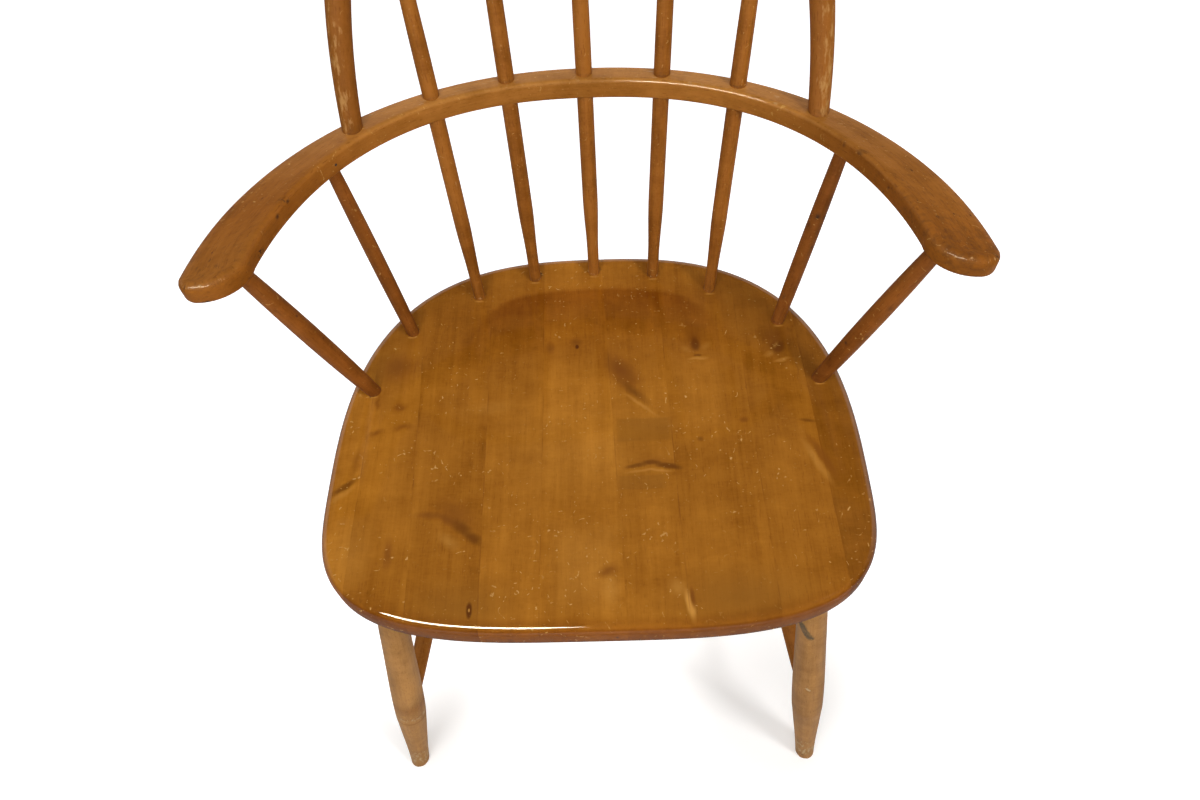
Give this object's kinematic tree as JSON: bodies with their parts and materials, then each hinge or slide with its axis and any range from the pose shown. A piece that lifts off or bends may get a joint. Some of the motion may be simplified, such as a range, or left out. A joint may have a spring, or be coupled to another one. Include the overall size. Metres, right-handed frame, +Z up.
{
  "type": "armchair",
  "caption": "Spindle-back armchair with a dished stave seat, raked turned legs tied by stretchers, a bent arm bow widening into hand rests and a bent hoop back; seats a person.",
  "frame": {"origin": "middle of the chair's outer box, at floor level", "axes": "+Z up from the floor, +Y towards the back of the chair, so the sitter faces -Y, and +X to the right when seen from the front"},
  "size_m": [0.6488, 0.5728, 0.986],
  "materials": {
    "seat_wood": "honey-brown stained hardwood staves under clear worn varnish",
    "bow_wood": "bent hardwood, brown stain, varnish rubbed and grimy at the hands",
    "spindle_wood": "turned hardwood, warm brown stain, satin varnish",
    "leg_wood": "turned hardwood, lighter worn stain, satin varnish"
  },
  "bodies": {
    "root": {"seat_stave_1": "seat_wood", "seat_stave_2": "seat_wood", "seat_stave_3": "seat_wood", "seat_stave_4": "seat_wood", "seat_stave_5": "seat_wood", "seat_stave_6": "seat_wood", "seat_stave_7": "seat_wood", "seat_stave_8": "seat_wood", "seat_stave_9": "seat_wood", "arm_bow": "bow_wood", "back_hoop": "bow_wood", "back_spindle_1": "spindle_wood", "back_spindle_2": "spindle_wood", "back_spindle_3": "spindle_wood", "back_spindle_4": "spindle_wood", "back_spindle_5": "spindle_wood", "arm_spindle_front_left": "spindle_wood", "arm_spindle_front_right": "spindle_wood", "arm_spindle_rear_left": "spindle_wood", "arm_spindle_rear_right": "spindle_wood", "leg_front_left": "leg_wood", "leg_front_right": "leg_wood", "leg_rear_left": "leg_wood", "leg_rear_right": "leg_wood", "side_stretcher_left": "leg_wood", "side_stretcher_right": "leg_wood", "cross_stretcher": "leg_wood"}
  },
  "joints": []
}
